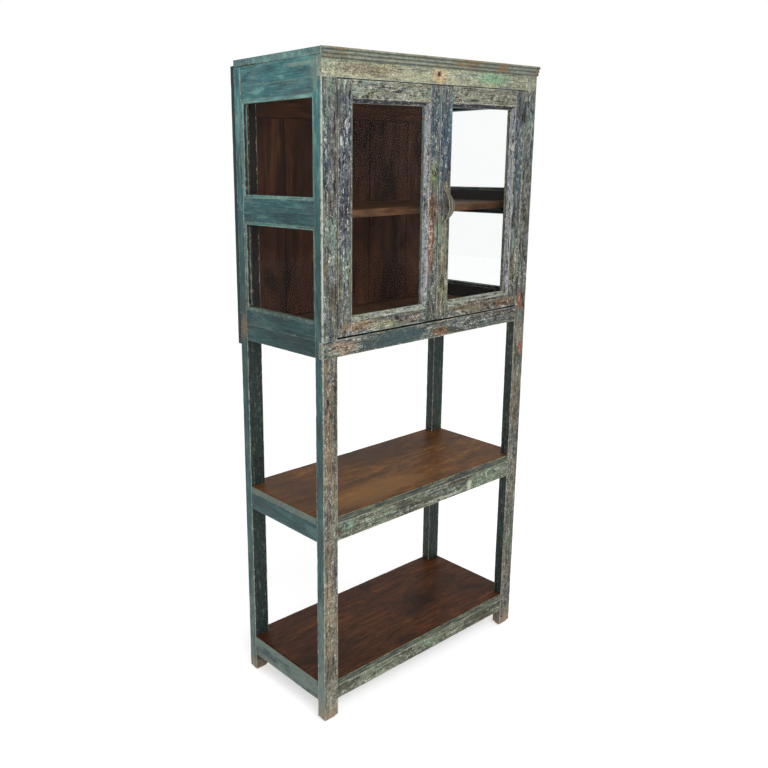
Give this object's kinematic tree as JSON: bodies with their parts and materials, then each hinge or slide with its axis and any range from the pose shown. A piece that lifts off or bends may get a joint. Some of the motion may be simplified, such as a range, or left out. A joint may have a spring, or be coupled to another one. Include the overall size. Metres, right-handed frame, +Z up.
{
  "type": "china cabinet with glass doors",
  "caption": "Tall painted wooden cabinet: glazed double-door cupboard with glass sides and an inner shelf, on open legs with two lower shelves.",
  "frame": {"origin": "centre of the overall box, on the floor", "axes": "+Z up, +X to the viewer's right when facing the doors, +Y to the back"},
  "size_m": [0.846, 0.404, 1.83],
  "materials": {
    "layered_paint": "many coats of old paint worn through to cream, green, blue and bare wood",
    "teal_paint": "worn teal paint over wood",
    "oiled_board": "oiled warm brown boards",
    "brown_interior": "dark brown stained wood",
    "old_glass": "clear old window glass",
    "worn_iron": "painted iron, worn and rusty",
    "rusty_iron": "rusted iron",
    "dark_iron": "dark old iron"
  },
  "bodies": {
    "cabinet": {"back_boards": "brown_interior", "back_bottom_rail": "brown_interior", "back_left_post": "layered_paint", "back_right_post": "layered_paint", "back_top_rail": "brown_interior", "bottom_back_rail": "layered_paint", "bottom_front_rail": "layered_paint", "bottom_left_rail": "teal_paint", "bottom_right_rail": "teal_paint", "bottom_shelf_board": "oiled_board", "cabinet_floor": "oiled_board", "cornice_moulding": "layered_paint", "door_stops": "brown_interior", "frieze_board": "layered_paint", "front_bottom_rail": "layered_paint", "front_left_post": "layered_paint", "front_right_post": "layered_paint", "hinge_frame_leaves": "dark_iron", "hinge_pins": "dark_iron", "inner_shelf": "oiled_board", "left_apron": "teal_paint", "left_bottom_rail": "teal_paint", "left_frieze_rail": "teal_paint", "left_mid_rail": "teal_paint", "left_top_rail": "teal_paint", "middle_back_rail": "layered_paint", "middle_front_rail": "layered_paint", "middle_left_rail": "teal_paint", "middle_right_rail": "teal_paint", "middle_shelf_board": "oiled_board", "right_apron": "teal_paint", "right_bottom_rail": "teal_paint", "right_frieze_rail": "teal_paint", "right_mid_rail": "teal_paint", "right_top_rail": "teal_paint", "shelf_cleats": "brown_interior", "side_glazing_beads": "teal_paint", "side_panes": "old_glass", "top_board": "teal_paint"},
    "left_door": {"left_door_hinge_stile": "layered_paint", "left_door_meeting_stile": "layered_paint", "left_door_top_rail": "layered_paint", "left_door_bottom_rail": "layered_paint", "left_door_glass": "old_glass", "left_door_beads": "layered_paint", "left_hinge_leaves": "dark_iron", "bolt_plate": "dark_iron", "latch_plate": "rusty_iron"},
    "right_door": {"right_door_hinge_stile": "layered_paint", "right_door_meeting_stile": "layered_paint", "right_door_top_rail": "layered_paint", "right_door_bottom_rail": "layered_paint", "right_door_glass": "old_glass", "right_door_beads": "layered_paint", "right_hinge_leaves": "dark_iron", "handle": "worn_iron", "handle_nails": "worn_iron", "latch_staple": "rusty_iron"},
    "bolt": {"bolt_rod": "dark_iron"},
    "link": {"latch_link": "rusty_iron"}
  },
  "joints": [
    {"name": "left_door_hinge", "type": "hinge", "parent": "cabinet", "child": "left_door", "pos_m": [-0.36875, -0.1774, 1.442], "axis": [0, 0, -1], "range_deg": [0, 170]},
    {"name": "right_door_hinge", "type": "hinge", "parent": "cabinet", "child": "right_door", "pos_m": [0.36875, -0.1794, 1.442], "axis": [0, 0, 1], "range_deg": [0, 170]},
    {"name": "bolt_slide", "type": "slide", "parent": "left_door", "child": "bolt", "axis": [0, 0, 1], "range_m": [0, 0.02]},
    {"name": "latch_link_swing", "type": "hinge", "parent": "left_door", "child": "link", "pos_m": [-0.0195, -0.1783, 1.446], "axis": [0, -1, 0], "range_deg": [-75, 55]}
  ]
}
